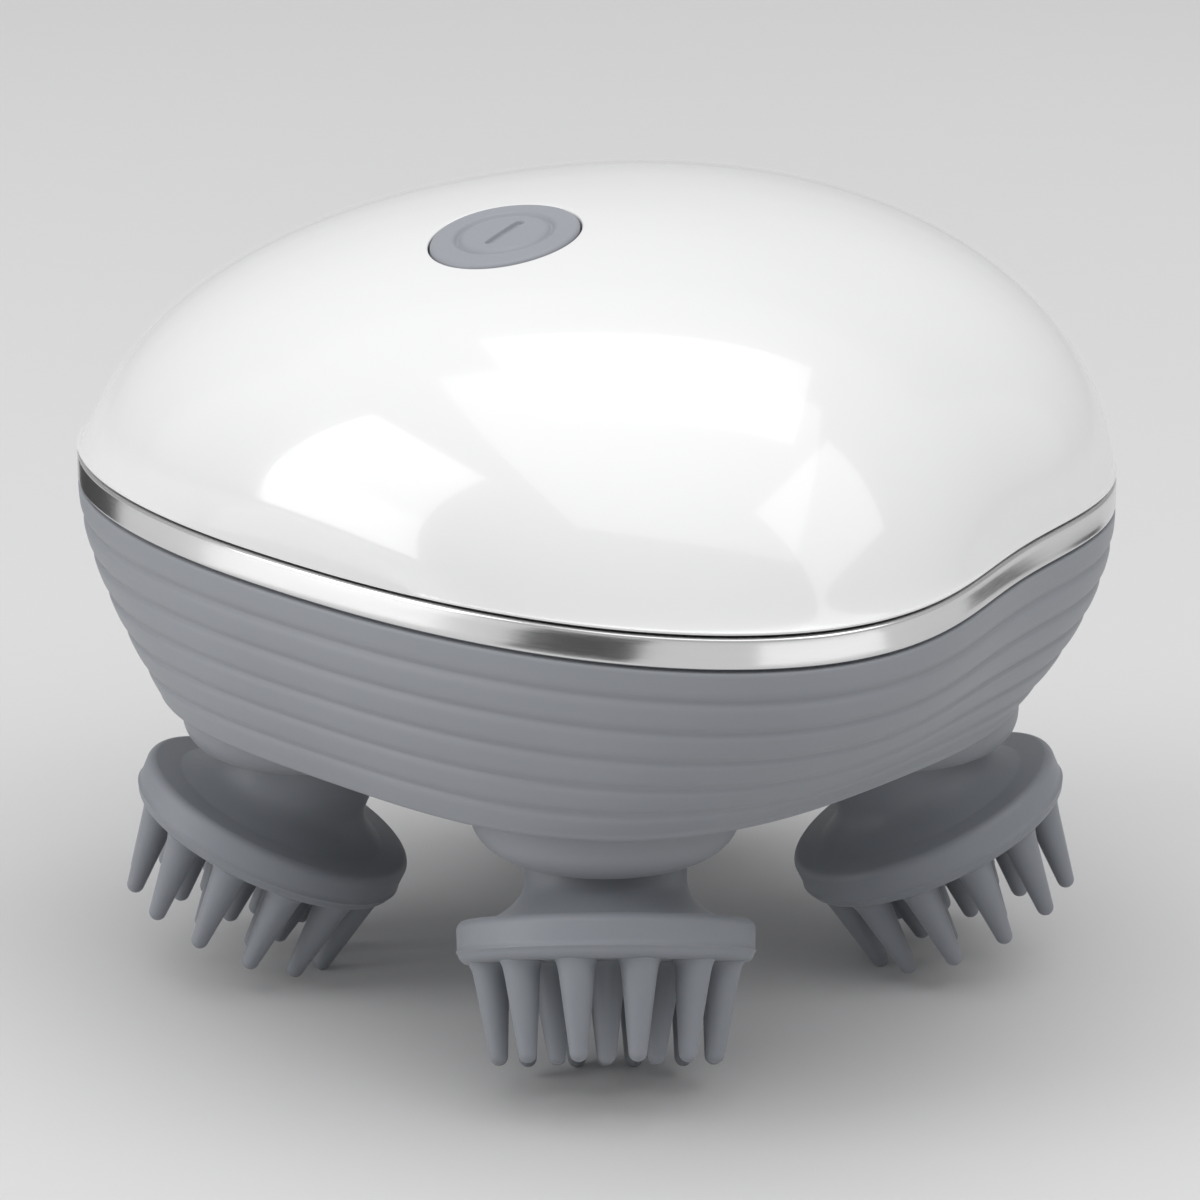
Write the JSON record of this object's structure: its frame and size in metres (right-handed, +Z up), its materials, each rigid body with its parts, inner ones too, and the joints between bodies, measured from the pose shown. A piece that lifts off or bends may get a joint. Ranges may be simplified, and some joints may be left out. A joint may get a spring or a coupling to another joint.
{
  "type": "electric scalp massager",
  "caption": "Handheld electric scalp massager: domed shell over a ribbed bowl, with a power button and inclined, turning silicone massage heads.",
  "frame": {"origin": "on the floor that the lowest prong tips stand on, under the middle of the body's outline", "axes": "+Z up, +X along the body's plane of symmetry away from the button, +Y across the body"},
  "size_m": [0.1045, 0.1168, 0.0898],
  "materials": {
    "pearl_shell": "high gloss pearl white",
    "trim_metal": "satin plated metal",
    "soft_grey": "soft touch matte grey",
    "button_grey": "soft touch matte grey",
    "silicone_grey": "matte silicone",
    "seal_rubber": "matte black rubber",
    "black_plastic": "matte black",
    "board_green": "solder mask green",
    "nylon": "natural nylon",
    "machine_steel": "turned steel",
    "bush_bronze": "sintered bronze",
    "cell_sleeve": "satin plastic sleeve over a metal cell",
    "contact_gold": "gold plated"
  },
  "bodies": {
    "housing": {"upper_shell": "pearl_shell", "trim_band": "trim_metal", "lower_housing": "soft_grey", "case_gasket": "seal_rubber", "tact_switch": "black_plastic", "circuit_board": "board_green", "gear_deck": "nylon", "motor_gearbox": "machine_steel", "drive_motor": "machine_steel", "battery_cradle": "black_plastic", "battery_cell": "cell_sleeve", "spindle_bush_1": "bush_bronze", "spindle_bush_2": "bush_bronze", "spindle_bush_3": "bush_bronze", "spindle_bush_4": "bush_bronze", "shaft_seal_1": "seal_rubber", "shaft_seal_2": "seal_rubber", "shaft_seal_3": "seal_rubber", "shaft_seal_4": "seal_rubber", "case_screw_1": "machine_steel", "case_screw_2": "machine_steel", "deck_screw_1": "machine_steel", "deck_screw_2": "machine_steel", "deck_screw_3": "machine_steel", "deck_screw_4": "machine_steel", "board_screw_1": "machine_steel", "board_screw_2": "machine_steel", "board_screw_3": "machine_steel", "motor_screw_1": "machine_steel", "motor_screw_2": "machine_steel", "charging_contact_1": "contact_gold", "charging_contact_2": "contact_gold"},
    "button": {"power_button": "button_grey"},
    "sun_drive": {"drive_shaft": "machine_steel", "sun_gear": "nylon"},
    "head_1": {"massage_head_1": "silicone_grey", "head_spindle_1": "machine_steel", "output_gear_1": "nylon"},
    "head_2": {"massage_head_2": "silicone_grey", "head_spindle_2": "machine_steel", "output_gear_2": "nylon"},
    "head_3": {"massage_head_3": "silicone_grey", "head_spindle_3": "machine_steel", "output_gear_3": "nylon"},
    "head_4": {"massage_head_4": "silicone_grey", "head_spindle_4": "machine_steel", "output_gear_4": "nylon"}
  },
  "joints": [
    {"name": "button_press", "type": "slide", "parent": "housing", "child": "button", "axis": [0, 0, -1], "range_m": [0, 0.0006], "stiffness_N_per_m": 3000},
    {"name": "sun_spin", "type": "hinge", "parent": "housing", "child": "sun_drive", "pos_m": [-0.00475, 0, 0.04], "axis": [0, 0, 1], "continuous": true},
    {"name": "head_spin_1", "type": "hinge", "parent": "housing", "child": "head_1", "pos_m": [0.01823, 0.02298, 0.04], "axis": [0, 0, 1], "continuous": true},
    {"name": "head_spin_2", "type": "hinge", "parent": "housing", "child": "head_2", "pos_m": [-0.02773, 0.02298, 0.04], "axis": [0, 0, 1], "continuous": true},
    {"name": "head_spin_3", "type": "hinge", "parent": "housing", "child": "head_3", "pos_m": [-0.02773, -0.02298, 0.04], "axis": [0, 0, 1], "continuous": true},
    {"name": "head_spin_4", "type": "hinge", "parent": "housing", "child": "head_4", "pos_m": [0.01823, -0.02298, 0.04], "axis": [0, 0, 1], "continuous": true}
  ],
  "couplings": [
    {"joint": "head_spin_1", "follows": "sun_spin", "ratio": -2.25},
    {"joint": "head_spin_2", "follows": "sun_spin", "ratio": -2.25},
    {"joint": "head_spin_3", "follows": "sun_spin", "ratio": -2.25},
    {"joint": "head_spin_4", "follows": "sun_spin", "ratio": -2.25}
  ]
}
